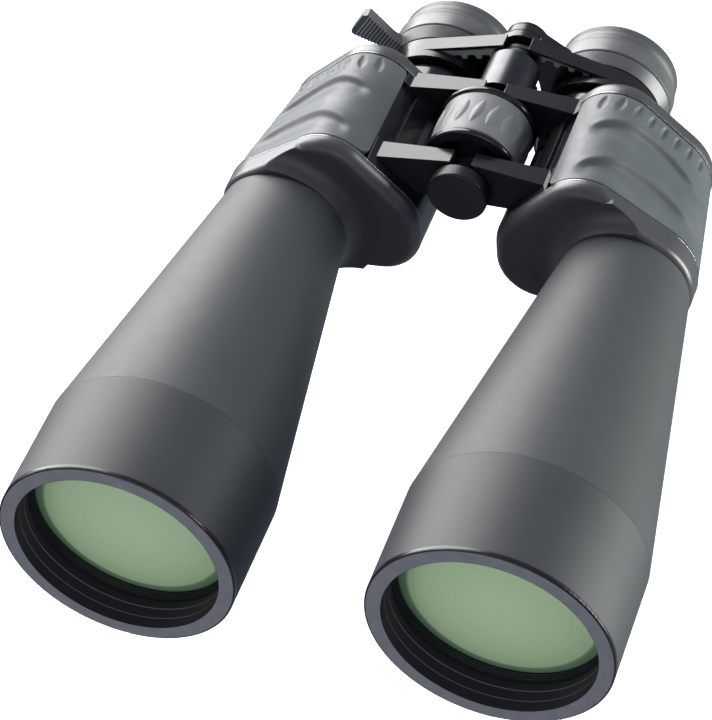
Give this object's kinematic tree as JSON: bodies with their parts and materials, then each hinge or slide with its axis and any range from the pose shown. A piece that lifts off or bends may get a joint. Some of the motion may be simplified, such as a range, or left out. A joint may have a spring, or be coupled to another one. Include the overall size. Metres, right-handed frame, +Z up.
{
  "type": "zoom binoculars",
  "caption": "Large Porro-prism zoom binoculars with tapering barrels, rubber-armoured prism housings, a centre focus wheel, a zoom lever and a folding hinge.",
  "frame": {"origin": "bottom centre of the bounding box, on the surface that the binoculars lie on", "axes": "+Y from the objectives back to the eyecups along the table, +Z up, +X towards the user's left hand"},
  "size_m": [0.2142, 0.2836, 0.0872],
  "materials": {
    "armour_rubber": "fine matt rubber",
    "belt": "pale grey-green belt",
    "bezel_grey": "fine matt grey",
    "black_matt": "matt black",
    "brass": "plain brass",
    "coated_glass": "polished, green coated",
    "dark_chrome": "dark bright chrome",
    "eyecup_rubber": "soft matt rubber",
    "gloss_black": "gloss black",
    "grip_rubber": "fine matt rubber",
    "inner_metal": "black anodised",
    "prism_glass": "polished",
    "ring_grey": "satin grey",
    "satin_paint": "satin dark grey paint on cast and turned aluminium",
    "sleeve_coat": "fine satin soft-touch coat",
    "steel": "turned steel"
  },
  "bodies": {
    "right_half": {"right_objective_sleeve": "sleeve_coat", "right_objective_bezel": "bezel_grey", "right_lens_retaining_ring": "black_matt", "right_objective_cell": "inner_metal", "right_objective_doublet": "coated_glass", "right_objective_barrel": "satin_paint", "right_front_cover": "satin_paint", "right_rear_cover": "satin_paint", "right_cover_screws": "steel", "right_guide_bush": "black_matt", "right_armour": "armour_rubber", "right_front_prism": "prism_glass", "right_rear_prism": "prism_glass", "right_prism_shelf": "inner_metal", "right_prism_clips": "steel", "right_prism_housing": "satin_paint", "hinge_pin": "steel", "hinge_washers": "brass", "focus_tube": "dark_chrome"},
    "left_half": {"left_objective_sleeve": "sleeve_coat", "left_objective_bezel": "bezel_grey", "left_lens_retaining_ring": "black_matt", "left_objective_cell": "inner_metal", "left_objective_doublet": "coated_glass", "left_objective_barrel": "satin_paint", "left_front_cover": "satin_paint", "left_rear_cover": "satin_paint", "left_cover_screws": "steel", "left_guide_bush": "black_matt", "left_armour": "armour_rubber", "left_front_prism": "prism_glass", "left_rear_prism": "prism_glass", "left_prism_shelf": "inner_metal", "left_prism_clips": "steel", "left_prism_housing": "satin_paint"},
    "focus_wheel": {"focus_wheel": "gloss_black", "wheel_grip": "grip_rubber"},
    "tripod_cap": {"tripod_cap": "black_matt"},
    "right_carriage": {"focus_rod": "steel", "bridge_cap": "satin_paint", "right_bridge_arm": "satin_paint", "right_eyepiece_tube": "inner_metal", "right_ocular_ring": "ring_grey", "right_eyecup": "eyecup_rubber", "right_eye_lens": "coated_glass", "right_zoom_belt": "belt"},
    "left_carriage": {"left_bridge_arm": "satin_paint", "left_eyepiece_tube": "inner_metal", "left_zoom_belt": "belt"},
    "right_zoom": {"right_zoom_ring": "ring_grey", "zoom_lever": "black_matt"},
    "left_zoom": {"left_zoom_ring": "ring_grey"},
    "zoom_pulley": {"zoom_pulley": "black_matt"},
    "right_zoom_cell": {"right_zoom_cell": "inner_metal", "right_zoom_lens": "prism_glass"},
    "left_zoom_cell": {"left_zoom_cell": "inner_metal", "left_zoom_lens": "prism_glass"},
    "left_ocular": {"left_ocular_ring": "ring_grey", "left_eyecup": "eyecup_rubber", "left_eye_lens": "coated_glass"}
  },
  "joints": [
    {"name": "fold", "type": "hinge", "parent": "right_half", "child": "left_half", "pos_m": [0, 0.06199, 0.05047], "axis": [0, 0.9975, -0.0705], "range_deg": [-25.2, 19.6]},
    {"name": "focus_turn", "type": "hinge", "parent": "right_half", "child": "focus_wheel", "pos_m": [0, 0.06199, 0.05047], "axis": [0, 0.9975, -0.0705], "range_deg": [-22.7, 337.7]},
    {"name": "right_focus_slide", "type": "slide", "parent": "right_half", "child": "right_carriage", "axis": [0, 0.9975, -0.0705], "range_m": [-0.0005, 0.0075]},
    {"name": "left_focus_slide", "type": "slide", "parent": "left_half", "child": "left_carriage", "axis": [0, 0.9975, -0.0705], "range_m": [-0.00051, 0.00751]},
    {"name": "zoom_turn", "type": "hinge", "parent": "right_carriage", "child": "right_zoom", "pos_m": [-0.0321, 0.12033, 0.02489], "axis": [0, 0.9975, -0.0705], "range_deg": [-60.2, 30.2]},
    {"name": "left_zoom_turn", "type": "hinge", "parent": "left_carriage", "child": "left_zoom", "pos_m": [0.0321, 0.12033, 0.02489], "axis": [0, 0.9975, -0.0705], "range_deg": [-60.2, 30.2]},
    {"name": "zoom_pulley_turn", "type": "hinge", "parent": "right_carriage", "child": "zoom_pulley", "pos_m": [0, 0.11486, 0.04673], "axis": [0, 0.9975, -0.0705], "range_deg": [-220, 110]},
    {"name": "right_zoom_slide", "type": "slide", "parent": "right_carriage", "child": "right_zoom_cell", "axis": [0, 0.9975, -0.0705], "range_m": [-0.00419, 0.00209]},
    {"name": "left_zoom_slide", "type": "slide", "parent": "left_carriage", "child": "left_zoom_cell", "axis": [0, 0.9975, -0.0705], "range_m": [-0.0042, 0.0021]},
    {"name": "dioptre_turn", "type": "hinge", "parent": "left_carriage", "child": "left_ocular", "pos_m": [0.0321, 0.12033, 0.02489], "axis": [0, 0.9975, -0.0705], "range_deg": [-40, 40]},
    {"name": "tripod_cap_pull", "type": "slide", "parent": "right_half", "child": "tripod_cap", "axis": [0, -0.9975, 0.0705], "range_m": [0, 0.045]}
  ],
  "couplings": [
    {"joint": "focus_turn", "follows": "right_focus_slide", "rad_per_m": 785.4},
    {"joint": "left_focus_slide", "follows": "right_focus_slide", "ratio": 1},
    {"joint": "zoom_turn", "follows": "right_zoom_slide", "rad_per_m": 250},
    {"joint": "left_zoom_turn", "follows": "right_zoom_slide", "rad_per_m": 250},
    {"joint": "zoom_pulley_turn", "follows": "right_zoom_slide", "rad_per_m": 910.47},
    {"joint": "left_zoom_slide", "follows": "right_zoom_slide", "ratio": 1}
  ]
}
